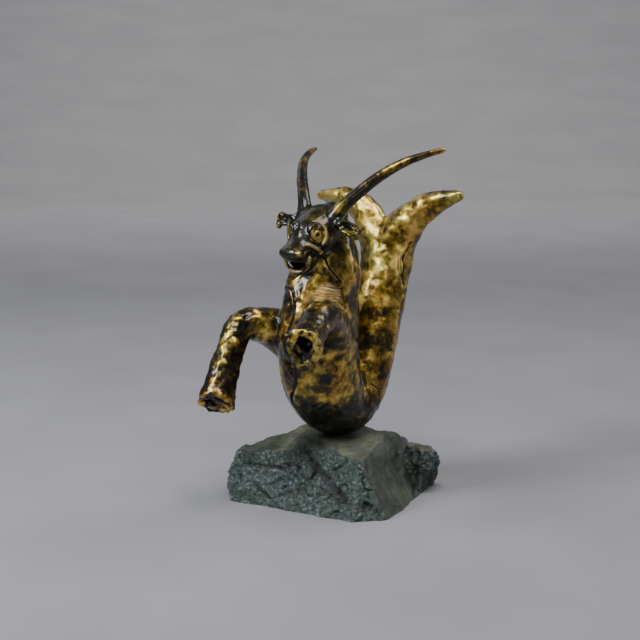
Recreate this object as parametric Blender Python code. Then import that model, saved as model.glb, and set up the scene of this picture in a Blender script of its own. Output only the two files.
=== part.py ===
# A cast bronze capricorn, goat in front and fish behind, on a rough block of green stone.
# The figure faces -Y, its left side is +X and +Z is up. The origin lies on the underside of the
# stone, straight below the small flat that the figure's belly rests on.

import math

import bmesh
import bpy
from mathutils import Matrix, Vector, noise

# Driving sizes in metres.
FIGURE_HEIGHT = 0.245        # flat of the belly to the highest horn tip
BRONZE_WALL = 0.0038         # wall that shows at the open ends of the forelegs
LEFT_SIDE_WALL = 0.0065      # thicker wall at both sides of the left foreleg's end
LEG_HOLLOW_DEPTH = 0.026     # how far the open ends of the forelegs are hollow
FOOT_WIDTH = 0.018           # flat under the belly that rests on the stone
SEAT_GAP = 0.0003            # clearance between the figure's flat and the stone
STONE_LENGTH = 0.150         # along the stone's front face
STONE_WIDTH = 0.130          # across it
STONE_HEIGHT = 0.053         # underside to the seat of the figure
SEAT_WIDTH = 0.030           # flat spot of the stone that the figure stands on
SEAT_SETBACK = 0.0067        # the seat lies this far behind the middle of the stone
STONE_TURN = math.radians(10.6)   # the stone's front face turned away from the figure's

# The figure's pose and proportions are shares of its height. A table gives them in units of
# 1/245 of it, which are millimetres at the real size, with z counted from the belly's flat.
POSE_UNIT = FIGURE_HEIGHT / 245.0
STONE_GRAIN = 0.0021         # spacing of the surface points that its roughness is worked on
STONE_CHIP = 0.021           # size of the larger chips
STONE_ROUGHNESS = 0.0021     # how far its split faces stand proud or lie deep
CAST_GRAIN = 1.5 * POSE_UNIT   # spacing of the surface points that blend the castings' forms
FIGURE_FACES = 6500
STONE_FACES = 1500

# Rows of x, y, z, half width across and half depth.
BODY = [
    (0, -20, 180, 21, 21),
    (0, -18, 154, 28.5, 27),
    (0, -24, 127, 28.5, 34.5),
    (0, -27, 105, 30, 37),
    (0, -28, 80, 31, 38),
    (0, -24, 52, 32, 35),
    (0, -5, 26, 31, 26),
    (0, 20, 40, 30, 25),
    (0, 37, 76, 28, 22),
    (0, 53, 112, 25.5, 19.5),
    (0, 60, 132, 24.5, 17),
    (0, 64, 150, 25, 15.5),
    (0, 67, 164, 22, 13),
]
# Rows of the flukes: half width is in the plane of the tail fin, half depth is its thickness.
LEFT_FLUKE = [
    (3, 64, 138, 22, 16),
    (8, 65, 156, 20, 14),
    (17, 67, 171, 18, 12.5),
    (27, 68, 181, 14.6, 11),
    (42, 68, 191.5, 12, 9),
    (59, 68, 199, 8.6, 7),
    (73, 68, 203, 5, 4.5),
]
RIGHT_FLUKE = [
    (-3, 64, 138, 22, 16),
    (-9, 65, 154, 20, 14),
    (-19, 67, 169, 17, 12.5),
    (-28, 68, 182, 13.5, 11),
    (-47, 68, 190, 11, 9),
    (-63, 68, 190.5, 7.8, 7),
    (-77, 68, 191, 4.5, 4.5),
]
LEFT_FORELEG = [
    (9, -22, 80, 20, 21),
    (23, -41, 100, 16, 17),
    (33, -60, 114, 14.5, 14.5),
    (39, -76, 115, 13.5, 13.5),
    (48, -96, 109, 13, 13),
    (59, -119, 103, 15.5, 16.2),
]
RIGHT_FORELEG = [
    (-20, -24, 80, 24, 26),
    (-34, -48, 94, 17.5, 17.5),
    (-44, -68, 99, 13.5, 13.5),
    (-47, -79, 93, 12.5, 12.5),
    (-43, -97, 69, 12.5, 12.5),
    (-38, -115, 38, 15.5, 15.5),
]
# The way that the right foreleg's open end faces, and how far up the leg its cut lies.
RIGHT_CUT = (0.265, -0.620, -0.738)
RIGHT_CUT_SETBACK = 3.3
# Rows of the horns have one radius.
LEFT_HORN = [
    (15, -28, 188, 7.5), (20, -23, 198, 6), (28, -15, 208, 5.3), (38, -5, 219.5, 5), (50, 10, 231, 4.4),
    (60, 27, 238, 3.7), (68, 45, 242, 2.8), (70, 51, 243, 2.4),
]
RIGHT_HORN = [
    (-15, -28, 187, 7.5), (-20, -23, 197, 6), (-28, -15, 206.5, 5.3), (-38, -5, 215.5, 5),
    (-50, 10, 225, 4.4), (-60, 27, 231, 3.7), (-68, 45, 234, 2.8), (-70, 51, 234.5, 2.4),
]
# The head's own axes: forward along the muzzle, up from it, and x across.
HEAD_CENTRE = (0, -28, 179)
HEAD_PITCH = math.radians(25)
# Rows of forward, up, half width and half height.
SKULL = [
    (-18, 0, 15, 14),
    (-8, 0.5, 20.5, 17.5),
    (4, 0.5, 21.5, 17),
    (13, 1, 20, 15),
    (21, 0.5, 15.5, 11.5),
    (29, 0, 12, 8),
    (38.5, 0, 13.5, 6.3),
]
JAW = [
    (6, -8, 13, 9),
    (20, -10, 12.5, 9),
    (34, -11, 12, 8.5),
]
MOUTH = [
    (14, -8, 5, 1.5),
    (23, -9.5, 8, 4),
    (34, -12, 10.2, 6.2),
    (54, -13.5, 11, 7.5),
]
EYE = (17.5, 6, 15.5)          # forward, up and sideways
EYE_SOCKET = 7.5
EYEBALL = 5.5
EYE_SINK = 3.2               # how far the eyeball's middle lies inside the socket's
SOCKET_STRETCH = (0.55, 1, 1.1)
EYEBALL_STRETCH = (0.7, 1, 1)
# Each ear runs from root to tip, with its hollow open towards the front.
LEFT_EAR = ((21, -30, 186.5), (46, -36, 180))
RIGHT_EAR = ((-20, -30, 185), (-37, -37, 184))
EAR_HALF_WIDTH = 5.4
EAR_TIP_RADIUS = 2.8

RING_SIDES = 24
DOME_ANGLES = [math.radians(a) for a in (24, 48, 72)]   # rings of the rounded ends
SPAN_STEPS = 5               # rings made from one row of a table to the next
HOLLOW_STEPS = 2             # the same for what is cut out

# Faces of the split stone: heading of the face in degrees from its long axis, how far out the
# face stands as a share of the half length or half width, at which share of the height, and
# how many degrees it leans back.
STONE_FACETS = [
    (-89, 1.03, 0.00, 33),
    (5, 0.95, 0.00, 33),
    (-50, 1.20, 0.00, 26),
    (60, 0.84, 0.91, 60),
    (90, 0.95, 0.38, 8),
    (95, 0.78, 0.87, 50),
    (90, 0.335, 0.985, 80),
    (180, 1.02, 0.47, 0),
    (180, 0.89, 0.00, -35),
    (165, 0.80, 0.79, 60),
    (-120, 0.54, 0.90, 80),
    (-30, 0.34, 0.97, 80),
]
# A coarser spur stands out at the stone's rear left corner: its middle and its half sizes as
# shares of the stone's, and its own faces.
SPUR_MIDDLE = (0.86, 0.687)
SPUR_HALF = (0.14, 0.21)
SPUR_FACETS = [
    (0, 1.00, 0.60, 12),
    (0, 1.00, 0.50, -24),
    (-45, 0.98, 0.66, 22),
    (-90, 1.00, 0.50, 4),
    (45, 0.95, 0.62, 25),
    (90, 1.00, 0.50, 6),
    (180, 1.60, 0.50, 0),
    (0, 0.20, 0.78, 82),
    (60, 0.60, 0.72, 60),
]


def clear_scene():
    for item in list(bpy.data.objects):
        bpy.data.objects.remove(item, do_unlink=True)


def blend_rows(rows, steps):
    # A Catmull-Rom curve through the rows, all their numbers together.
    rows = [tuple(float(v) for v in row) for row in rows]
    first = tuple(2 * a - b for a, b in zip(rows[0], rows[1]))
    last = tuple(2 * a - b for a, b in zip(rows[-1], rows[-2]))
    knots = [first] + rows + [last]
    out = []
    for i in range(1, len(knots) - 2):
        for s in range(steps):
            t = s / steps
            out.append(tuple(
                0.5 * (2 * b + (c - a) * t + (2 * a - 5 * b + 4 * c - d) * t * t
                       + (3 * b - a - 3 * c + d) * t ** 3)
                for a, b, c, d in zip(*knots[i - 1:i + 3])))
    out.append(rows[-1])
    return out


def loft(points, across, name):
    # Elliptical rings along a path, closed by a dome at each end. Each point holds a centre,
    # a half width along the across direction and a half depth.
    centres = [Vector(p[:3]) for p in points]
    widths = [p[3] for p in points]
    depths = [p[4] for p in points]
    frames = []
    for i, centre in enumerate(centres):
        along = (centres[min(i + 1, len(centres) - 1)] - centres[max(i - 1, 0)]).normalized()
        side = (across - along * across.dot(along)).normalized()
        frames.append((along, side, along.cross(side)))
    rings = [(c, side, up, w, d) for c, (along, side, up), w, d in zip(centres, frames, widths, depths)]
    for angle in DOME_ANGLES:
        for end, sense in ((0, -1), (-1, 1)):
            along, side, up = frames[end]
            beyond = along * (sense * min(widths[end], depths[end]) * math.sin(angle))
            shrink = math.cos(angle)
            ring = (centres[end] + beyond, side, up, widths[end] * shrink, depths[end] * shrink)
            rings.insert(0 if end == 0 else len(rings), ring)

    bm = bmesh.new()
    loops = []
    for centre, side, up, width, depth in rings:
        loop = []
        for k in range(RING_SIDES):
            a = 2 * math.pi * k / RING_SIDES
            loop.append(bm.verts.new(centre + side * (width * math.cos(a)) + up * (depth * math.sin(a))))
        loops.append(loop)
    for lower, upper in zip(loops, loops[1:]):
        for k in range(RING_SIDES):
            n = (k + 1) % RING_SIDES
            bm.faces.new((lower[k], lower[n], upper[n], upper[k]))
    bm.faces.new(list(reversed(loops[0])))
    bm.faces.new(loops[-1])
    bmesh.ops.recalc_face_normals(bm, faces=bm.faces)
    return new_object(bm, name)


def new_object(bm, name):
    mesh = bpy.data.meshes.new(name)
    bm.to_mesh(mesh)
    bm.free()
    item = bpy.data.objects.new(name, mesh)
    bpy.context.scene.collection.objects.link(item)
    return item


def place(x, y, z):
    # From the pose table to the real place above the stone.
    return Vector((x * POSE_UNIT, y * POSE_UNIT, z * POSE_UNIT + STONE_HEIGHT + SEAT_GAP))


def pose_rows(rows):
    placed = []
    for x, y, z, *radii in rows:
        centre = place(x, y, z)
        width = radii[0] * POSE_UNIT
        depth = radii[-1] * POSE_UNIT
        placed.append((*centre, width, depth))
    return placed


def limb(rows, across, name, steps=SPAN_STEPS):
    return loft(blend_rows(pose_rows(rows), steps), across, name)


def hollow(rows, across, name):
    return limb(rows, across, name, steps=HOLLOW_STEPS)


def head_place(forward, up, sideways=0.0):
    c = math.cos(HEAD_PITCH)
    s = math.sin(HEAD_PITCH)
    x, y, z = HEAD_CENTRE
    return (x + sideways, y - forward * c - up * s, z - forward * s + up * c)


def head_rows(rows):
    return [head_place(forward, up) + (width, height) for forward, up, width, height in rows]


def ball(centre, radius, name, stretch=(1, 1, 1)):
    bm = bmesh.new()
    bmesh.ops.create_uvsphere(bm, u_segments=16, v_segments=10, radius=radius * POSE_UNIT)
    for v in bm.verts:
        v.co = Vector((v.co.x * stretch[0], v.co.y * stretch[1], v.co.z * stretch[2])) + place(*centre)
    return new_object(bm, name)


def join(parts, name):
    bm = bmesh.new()
    for part in parts:
        bm.from_mesh(part.data)
        bpy.data.objects.remove(part, do_unlink=True)
    return new_object(bm, name)


def bake_modifiers(item):
    graph = bpy.context.evaluated_depsgraph_get()
    mesh = bpy.data.meshes.new_from_object(item.evaluated_get(graph))
    item.modifiers.clear()
    item.data = mesh


def keep_largest(item):
    # Drops any loose crumb that blending or cutting has left.
    bm = bmesh.new()
    bm.from_mesh(item.data)
    bm.verts.ensure_lookup_table()
    seen = set()
    groups = []
    for start in bm.verts:
        if start in seen:
            continue
        group = [start]
        seen.add(start)
        for vert in group:
            for edge in vert.link_edges:
                other = edge.other_vert(vert)
                if other not in seen:
                    seen.add(other)
                    group.append(other)
        groups.append(group)
    groups.sort(key=len)
    for group in groups[:-1]:
        bmesh.ops.delete(bm, geom=group, context="VERTS")
    bm.to_mesh(item.data)
    bm.free()


def fuse(item, grain, rounds):
    # Melts overlapping forms into one skin and softens the joins between them.
    blend = item.modifiers.new("melt", "REMESH")
    blend.mode = "VOXEL"
    blend.voxel_size = grain
    soften = item.modifiers.new("soften", "SMOOTH")
    soften.factor = 0.5
    soften.iterations = rounds
    bake_modifiers(item)


def thin_out(item, faces):
    thin = item.modifiers.new("thin", "DECIMATE")
    thin.ratio = faces / sum(len(p.vertices) - 2 for p in item.data.polygons)
    bake_modifiers(item)
    keep_largest(item)


def combine(item, others, operation):
    for other in others:
        other.hide_render = True
        other.display_type = "WIRE"
        step = item.modifiers.new(operation, "BOOLEAN")
        step.operation = operation
        step.object = other
    bake_modifiers(item)
    for other in others:
        bpy.data.objects.remove(other, do_unlink=True)


def bronze():
    item = bpy.data.materials.new("patinated_bronze")
    item.use_nodes = True
    shader = item.node_tree.nodes["Principled BSDF"]
    shader.inputs["Base Color"].default_value = (0.16, 0.10, 0.035, 1.0)
    shader.inputs["Metallic"].default_value = 1.0
    shader.inputs["Roughness"].default_value = 0.32
    item.diffuse_color = (0.16, 0.10, 0.035, 1.0)
    return item


def serpentine():
    item = bpy.data.materials.new("green_serpentine")
    item.use_nodes = True
    shader = item.node_tree.nodes["Principled BSDF"]
    shader.inputs["Base Color"].default_value = (0.045, 0.06, 0.05, 1.0)
    shader.inputs["Metallic"].default_value = 0.0
    shader.inputs["Roughness"].default_value = 0.62
    item.diffuse_color = (0.045, 0.06, 0.05, 1.0)
    return item


def hollow_end(rows, side_wall, name):
    # A blind hollow in the open end of a foreleg: the leg's own rows, thinner by the wall.
    depth = LEG_HOLLOW_DEPTH / POSE_UNIT
    end = Vector(rows[-1][:3])
    inward = (Vector(rows[-2][:3]) - end).normalized()
    width = rows[-1][3] - side_wall / POSE_UNIT
    height = rows[-1][3] - BRONZE_WALL / POSE_UNIT
    inner = end + inward * depth
    outer = end - inward * rows[-1][3]
    shape = [
        (*inner, width * 0.7, height * 0.7),
        (*(end + inward * depth * 0.5), width * 0.86, height * 0.86),
        (*end, width, height),
        (*outer, width, height),
    ]
    return loft(pose_rows(shape), Vector((1, 0, 0)), name)


def end_block(rows, name, facing=None, setback=0.0):
    # A block beyond the end of a foreleg that cuts it off, square where no facing is given.
    end = place(*rows[-1][:3])
    outward = (end - place(*rows[-2][:3])).normalized()
    end -= outward * setback * POSE_UNIT
    if facing:
        outward = Vector(facing).normalized()
    bm = bmesh.new()
    size = 4 * rows[-1][3] * POSE_UNIT
    bmesh.ops.create_cube(bm, size=size)
    turn = outward.to_track_quat("Z", "Y").to_matrix()
    for v in bm.verts:
        v.co = turn @ v.co + end + outward * (size / 2)
    return new_object(bm, name)


def body(across):
    # The belly is let down below its flat by the height of the cap that the flat takes off.
    item = limb(BODY, across, "body")
    belly = min(BODY, key=lambda row: row[2])
    belly_radius = 0.5 * (belly[3] + belly[4]) * POSE_UNIT
    cap = FOOT_WIDTH ** 2 / (8 * belly_radius)
    lowest = min(v.co.z for v in item.data.vertices)
    item.data.transform(Matrix.Translation((0, 0, STONE_HEIGHT + SEAT_GAP - cap - lowest)))
    return item


def ear_leaf(root, tip):
    # A short leaf with a bead at the lower corner of its end.
    root = Vector(root)
    tip = Vector(tip)
    rows = [
        (*root, EAR_HALF_WIDTH * 0.7, EAR_HALF_WIDTH * 0.7),
        (*root.lerp(tip, 0.45), EAR_HALF_WIDTH, EAR_HALF_WIDTH),
        (*root.lerp(tip, 0.85), EAR_HALF_WIDTH * 0.95, EAR_HALF_WIDTH * 0.8),
    ]
    bead = ball(tip - Vector((0, 0, EAR_HALF_WIDTH * 0.6)), EAR_TIP_RADIUS, "ear_tip")
    return [limb(rows, Vector((0, 0, 1)), "ear"), bead]


def ear_hollow(root, tip):
    # The scoop that leaves the leaf as a thin rolled rim, open towards the front.
    root = Vector(root)
    tip = Vector(tip)
    lift = Vector((0, -EAR_HALF_WIDTH * 0.9, EAR_HALF_WIDTH * 0.2))
    inner = EAR_HALF_WIDTH * 0.72
    rows = [
        (*(root.lerp(tip, 0.30) + lift), inner * 0.7, inner * 0.9),
        (*(root.lerp(tip, 0.60) + lift), inner, inner),
        (*(root.lerp(tip, 1.05) + lift), inner, inner),
    ]
    return hollow(rows, Vector((0, 0, 1)), "ear_hollow")


def foot_block():
    # Everything below the seat, so the belly ends in a flat just above the stone.
    bm = bmesh.new()
    bmesh.ops.create_cube(bm, size=FIGURE_HEIGHT)
    bmesh.ops.translate(bm, vec=(0, 0, STONE_HEIGHT + SEAT_GAP - FIGURE_HEIGHT / 2), verts=bm.verts)
    return new_object(bm, "foot_block")


def make_figure():
    across = Vector((1, 0, 0))
    masses = [
        body(across),
        limb(LEFT_FLUKE, Vector((0.8, 0, -0.6)), "left_fluke"),
        limb(RIGHT_FLUKE, Vector((0.8, 0, 0.6)), "right_fluke"),
        limb(LEFT_FORELEG, across, "left_foreleg"),
        limb(RIGHT_FORELEG, across, "right_foreleg"),
        limb(head_rows(SKULL), across, "skull"),
        limb(head_rows(JAW), across, "jaw"),
        limb(LEFT_HORN, across, "left_horn"),
        limb(RIGHT_HORN, across, "right_horn"),
    ]
    for ear in (LEFT_EAR, RIGHT_EAR):
        masses += ear_leaf(*ear)
    figure = join(masses, "bronze_capricorn")
    fuse(figure, CAST_GRAIN, 5)
    keep_largest(figure)
    thin_out(figure, FIGURE_FACES)

    cutters = [
        end_block(LEFT_FORELEG, "left_end"),
        end_block(RIGHT_FORELEG, "right_end", RIGHT_CUT, RIGHT_CUT_SETBACK),
        hollow_end(LEFT_FORELEG, LEFT_SIDE_WALL, "left_hollow"),
        hollow_end(RIGHT_FORELEG, BRONZE_WALL, "right_hollow"),
        hollow(head_rows(MOUTH), across, "mouth"),
        foot_block(),
    ]
    cutters += [ear_hollow(*ear) for ear in (LEFT_EAR, RIGHT_EAR)]
    for side in (1, -1):
        socket = head_place(EYE[0], EYE[1], EYE[2] * side)
        cutters.append(ball(socket, EYE_SOCKET, "socket", SOCKET_STRETCH))
    combine(figure, cutters, "DIFFERENCE")
    eyes = []
    for side in (1, -1):
        middle = head_place(EYE[0], EYE[1], (EYE[2] - EYE_SINK) * side)
        eyes.append(ball(middle, EYEBALL, "eyeball", EYEBALL_STRETCH))
    combine(figure, eyes, "UNION")
    keep_largest(figure)
    figure.data.materials.clear()
    figure.data.materials.append(bronze())
    figure.data.shade_smooth()
    figure.data.set_sharp_from_angle(angle=math.radians(50))
    return figure


def split(bm, point, outward):
    # Takes off what lies beyond a plane and closes the new face.
    everything = bm.verts[:] + bm.edges[:] + bm.faces[:]
    cutting = bmesh.ops.bisect_plane(bm, geom=everything, dist=1e-6, plane_co=point, plane_no=outward,
                                     clear_outer=True)
    rim = [e for e in cutting["geom_cut"] if isinstance(e, bmesh.types.BMEdge)]
    if rim:
        bmesh.ops.contextual_create(bm, geom=rim)
    bmesh.ops.recalc_face_normals(bm, faces=bm.faces)


def roughen(stone):
    # Chips and clefts of a stone split with hammer and wedge.
    bm = bmesh.new()
    bm.from_mesh(stone.data)
    bm.normal_update()
    for v in bm.verts:
        chip = noise.fractal(v.co / STONE_CHIP, 1.0, 2.0, 4)
        cleft = abs(noise.noise(v.co / (STONE_CHIP * 1.7)))
        v.co += v.normal * (chip - cleft) * STONE_ROUGHNESS
        # The seat is left a little proud, to be cut level later, and the stone falls away from
        # it within its own width.
        off_seat = (v.co.xy.length - SEAT_WIDTH / 2) / SEAT_WIDTH
        if v.co.z > STONE_HEIGHT / 2 and off_seat < 1:
            proud = STONE_HEIGHT + 2 * STONE_ROUGHNESS
            v.co.z = max(v.co.z, proud + (v.co.z - proud) * max(off_seat, 0))
    bm.to_mesh(stone.data)
    bm.free()


def split_block(middle, half, facets, name):
    # A block of stone that has been split along a face after another.
    bm = bmesh.new()
    bmesh.ops.create_cube(bm, size=1.0)
    for v in bm.verts:
        v.co = Vector((v.co.x * half.x, v.co.y * half.y, v.co.z * STONE_HEIGHT / 2)) * 4
        v.co.z += STONE_HEIGHT / 2
    for heading, reach, level, lean in facets:
        turn = math.radians(heading)
        tilt = math.radians(lean)
        out = Vector((math.cos(turn), math.sin(turn), 0))
        span = math.hypot(out.x * half.x, out.y * half.y)
        face = out * span * reach + Vector((0, 0, STONE_HEIGHT * level))
        split(bm, face, out * math.cos(tilt) + Vector((0, 0, math.sin(tilt))))
    bmesh.ops.translate(bm, vec=middle, verts=bm.verts)
    bmesh.ops.rotate(bm, cent=(0, 0, 0), matrix=Matrix.Rotation(STONE_TURN, 3, "Z"), verts=bm.verts)
    return new_object(bm, name)


def make_stone():
    half = Vector((STONE_LENGTH / 2, STONE_WIDTH / 2, 0))
    middle = Vector((0, -SEAT_SETBACK, 0))
    block = split_block(middle, half, STONE_FACETS, "block")
    spur_middle = middle + half * Vector((*SPUR_MIDDLE, 0))
    spur = split_block(spur_middle, half * Vector((*SPUR_HALF, 0)), SPUR_FACETS, "spur")
    stone = join([block, spur], "stone_base")
    fuse(stone, STONE_GRAIN, 2)
    roughen(stone)
    thin_out(stone, STONE_FACES)

    bm = bmesh.new()
    bm.from_mesh(stone.data)
    split(bm, Vector((0, 0, STONE_ROUGHNESS)), Vector((0, 0, -1)))
    bmesh.ops.translate(bm, vec=(0, 0, -STONE_ROUGHNESS), verts=bm.verts)
    split(bm, Vector((0, 0, STONE_HEIGHT)), Vector((0, 0, 1)))
    bmesh.ops.triangulate(bm, faces=bm.faces)
    bm.to_mesh(stone.data)
    bm.free()
    stone.data.materials.clear()
    stone.data.materials.append(serpentine())
    return stone


def main():
    clear_scene()
    make_figure()
    make_stone()


main()
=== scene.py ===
# The looks of a cast bronze capricorn on a block of green stone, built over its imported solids.

import math

import bmesh
import bpy
import numpy as np
from mathutils import Matrix, Vector, kdtree, noise
from mathutils.bvhtree import BVHTree


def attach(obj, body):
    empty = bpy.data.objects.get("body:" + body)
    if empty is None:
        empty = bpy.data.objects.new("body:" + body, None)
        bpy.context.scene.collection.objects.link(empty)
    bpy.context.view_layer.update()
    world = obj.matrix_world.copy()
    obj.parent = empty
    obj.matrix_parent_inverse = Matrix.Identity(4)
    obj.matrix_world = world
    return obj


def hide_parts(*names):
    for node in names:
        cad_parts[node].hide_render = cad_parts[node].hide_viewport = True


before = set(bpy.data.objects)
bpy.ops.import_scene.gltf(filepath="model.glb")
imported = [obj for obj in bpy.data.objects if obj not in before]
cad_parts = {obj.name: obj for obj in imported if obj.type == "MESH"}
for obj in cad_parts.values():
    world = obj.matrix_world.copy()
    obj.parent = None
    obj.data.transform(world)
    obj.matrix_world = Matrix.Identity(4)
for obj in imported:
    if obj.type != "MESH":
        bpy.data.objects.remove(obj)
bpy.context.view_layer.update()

mm = 0.001

photoView = {
    "target": (-13.2, -11.1, 150.9),  # what the middle of the picture looks at, mm
    "azimuth": 40.0,  # degrees round from the figure's front to its left
    "elevation": 12.0,
    "distance": 1360.0,
    "lens": 90.0,
    "sensor": 36.0,
    "pixels": 640,
}
backView = dict(photoView, azimuth=220.0)
rightView = dict(photoView, azimuth=-60.0)


def viewAxes(view):
    # Right, up and forward of a camera that looks at the view's target.
    a = math.radians(view["azimuth"])
    e = math.radians(view["elevation"])
    back = Vector((math.sin(a) * math.cos(e), -math.cos(a) * math.cos(e), math.sin(e)))
    right = Vector((math.cos(a), math.sin(a), 0))
    return right, back.cross(right), -back


def viewPlace(view):
    return Vector(view["target"]) - viewAxes(view)[2] * view["distance"]


def viewRay(view, px, py):
    right, up, ahead = viewAxes(view)
    focal = view["lens"] / view["sensor"] * view["pixels"]
    middle = view["pixels"] / 2
    return (ahead + right * ((px - middle) / focal) + up * ((middle - py) / focal)).normalized()


def onPlane(place, facing, px, py, view=photoView):
    # Where the ray of a picture's pixel meets the plane through a place, in mm.
    start = viewPlace(view)
    ray = viewRay(view, px, py)
    return start + ray * ((Vector(place) - start).dot(facing) / ray.dot(facing))


def addCamera(view):
    right, up, ahead = viewAxes(view)
    data = bpy.data.cameras.new("photoCamera")
    data.lens = view["lens"]
    data.sensor_width = view["sensor"]
    item = bpy.data.objects.new("photoCamera", data)
    turn = Matrix((right, up, -ahead)).transposed().to_4x4()
    item.matrix_world = Matrix.Translation(viewPlace(view) * mm) @ turn
    bpy.context.scene.collection.objects.link(item)
    bpy.context.scene.camera = item


# Forms in wax, and the skins that they melt into. All sizes here are in mm.

def eased(places, radii, closed=False, cuts=5):
    # A smooth run through the places, with their radii.
    rows = [np.array((*p, r)) for p, r in zip(places, radii)]
    count = len(rows)
    spots = []
    for i in range(count if closed else count - 1):
        if closed:
            a, b, c, d = (rows[(i + k) % count] for k in (-1, 0, 1, 2))
        else:
            a, b, c, d = (rows[min(max(i + k, 0), count - 1)] for k in (-1, 0, 1, 2))
        for t in np.arange(cuts) / cuts:
            spots.append(0.5 * (2 * b + (c - a) * t + (2 * a - 5 * b + 4 * c - d) * t ** 2
                                + (3 * b - a - 3 * c + d) * t ** 3))
    if not closed:
        spots.append(rows[-1])
    return [(Vector(s[:3]), s[3]) for s in spots]


class Wax:
    # Closed forms that are added to a solid before it is melted into one skin.

    def __init__(self):
        self.bm = bmesh.new()

    def lump(self, centre, radii, turn=Matrix.Identity(3)):
        made = bmesh.ops.create_icosphere(self.bm, subdivisions=4, radius=1.0)
        for v in made["verts"]:
            v.co = (turn @ (v.co * Vector(radii)) + Vector(centre)) * mm

    def loop(self, place, side, other, radius, sides=12):
        turns = [2 * math.pi * k / sides for k in range(sides)]
        return [self.bm.verts.new((place + (side * math.cos(t) + other * math.sin(t)) * radius) * mm)
                for t in turns]

    def skinOver(self, loops):
        for a, b in zip(loops, loops[1:]):
            for k in range(len(a)):
                self.bm.faces.new((a[k], a[k - 1], b[k - 1], b[k]))

    def rope(self, places, radii):
        # A round bar along the places, with rounded ends.
        run = eased(places, radii)
        first = (run[1][0] - run[0][0]).normalized()
        last = (run[-1][0] - run[-2][0]).normalized()
        run.insert(0, (run[0][0] - first * run[0][1] * 0.7, run[0][1] * 0.6))
        run.append((run[-1][0] + last * run[-1][1] * 0.7, run[-1][1] * 0.6))
        side = first.orthogonal()
        loops = []
        for i, (place, radius) in enumerate(run):
            along = (run[min(i + 1, len(run) - 1)][0] - run[max(i - 1, 0)][0]).normalized()
            side = (side - along * side.dot(along)).normalized()
            loops.append(self.loop(place, side, along.cross(side), radius))
        self.skinOver(loops)
        self.bm.faces.new(loops[0])
        self.bm.faces.new(loops[-1][::-1])

    def ring(self, places, radii, facing):
        # A closed round bar that lies in one plane.
        run = eased(places, radii, closed=True)
        loops = []
        for i, (place, radius) in enumerate(run):
            along = run[(i + 1) % len(run)][0] - run[i - 1][0]
            loops.append(self.loop(place, facing, along.cross(facing).normalized(), radius))
        self.skinOver(loops + loops[:1])


def bakedMesh(item, name):
    graph = bpy.context.evaluated_depsgraph_get()
    mesh = bpy.data.meshes.new_from_object(item.evaluated_get(graph))
    mesh.name = name
    bpy.data.objects.remove(item)
    return mesh


def remeshed(mesh, grain):
    # The same form as an even mesh with its points that far apart.
    item = bpy.data.objects.new("form", mesh)
    bpy.context.scene.collection.objects.link(item)
    even = item.modifiers.new("even", "REMESH")
    even.mode = "VOXEL"
    even.voxel_size = grain * mm
    return bakedMesh(item, mesh.name)


def thinned(mesh, triangles, plain=None):
    # Fewer triangles where the skin is plain.
    item = bpy.data.objects.new("form", mesh)
    bpy.context.scene.collection.objects.link(item)
    thin = item.modifiers.new("thin", "DECIMATE")
    thin.ratio = min(1.0, triangles / sum(len(p.vertices) - 2 for p in mesh.polygons))
    if plain is not None:
        group = item.vertex_groups.new(name="plain")
        for share in (0.25, 0.5, 0.75, 1.0):
            group.add(np.flatnonzero(np.abs(plain - share) <= 0.125).tolist(), share, "REPLACE")
        thin.vertex_group = group.name
        thin.vertex_group_factor = 1.0
    return bakedMesh(item, mesh.name)


def joined(mesh, wax):
    wax.bm.from_mesh(mesh)
    bmesh.ops.recalc_face_normals(wax.bm, faces=wax.bm.faces)
    wax.bm.to_mesh(mesh)
    wax.bm.free()
    return mesh


class Skin:
    # The points of a mesh as an array in mm, to be moved and painted before they are written back.

    def __init__(self, mesh):
        self.mesh = mesh
        count = len(mesh.vertices)
        flat = np.empty(count * 3, np.float32)
        mesh.vertices.foreach_get("co", flat)
        self.points = flat.reshape(-1, 3).astype(float) / mm
        ends = np.empty(len(mesh.edges) * 2, np.int32)
        mesh.edges.foreach_get("vertices", ends)
        self.ends = ends.reshape(-1, 2)
        self.links = np.maximum(np.bincount(ends, minlength=count), 1)[:, None]

    def around(self, values):
        # The mean of each point's neighbours.
        a, b = self.ends.T
        count = len(self.points)
        sums = [np.bincount(a, values[b, k], count) + np.bincount(b, values[a, k], count) for k in range(3)]
        return np.stack(sums, 1) / self.links

    def smooth(self, rounds):
        # Smooths small bumps; each step back in keeps thin horns from shrinking.
        for _ in range(rounds):
            self.points += 0.5 * (self.around(self.points) - self.points)
            self.points -= 0.513 * (self.around(self.points) - self.points)
        self.write()

    def write(self):
        self.mesh.vertices.foreach_set("co", (self.points * mm).astype(np.float32).ravel())
        self.mesh.update()

    def normals(self):
        self.write()
        flat = np.empty(len(self.points) * 3, np.float32)
        self.mesh.vertex_normals.foreach_get("vector", flat)
        return flat.reshape(-1, 3).astype(float)

    def push(self, heights):
        self.points += self.normals() * heights[:, None]
        self.write()

    def soft(self, size, seed, octaves=2):
        # Soft noise, about -1 to 1, with lumps of that size.
        shift = Vector((seed * 7.3, seed * 3.1, seed * 5.7))
        return np.array([noise.fractal(Vector(p) / size + shift, 1.0, 2.0, octaves)
                         for p in self.points.tolist()])

    def hollowness(self, rounds):
        # Above 0 in hollows and below 0 on ridges.
        flat = self.points
        for _ in range(rounds):
            flat = flat + 0.6 * (self.around(flat) - flat)
        return ((flat - self.points) * self.normals()).sum(1)


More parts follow.
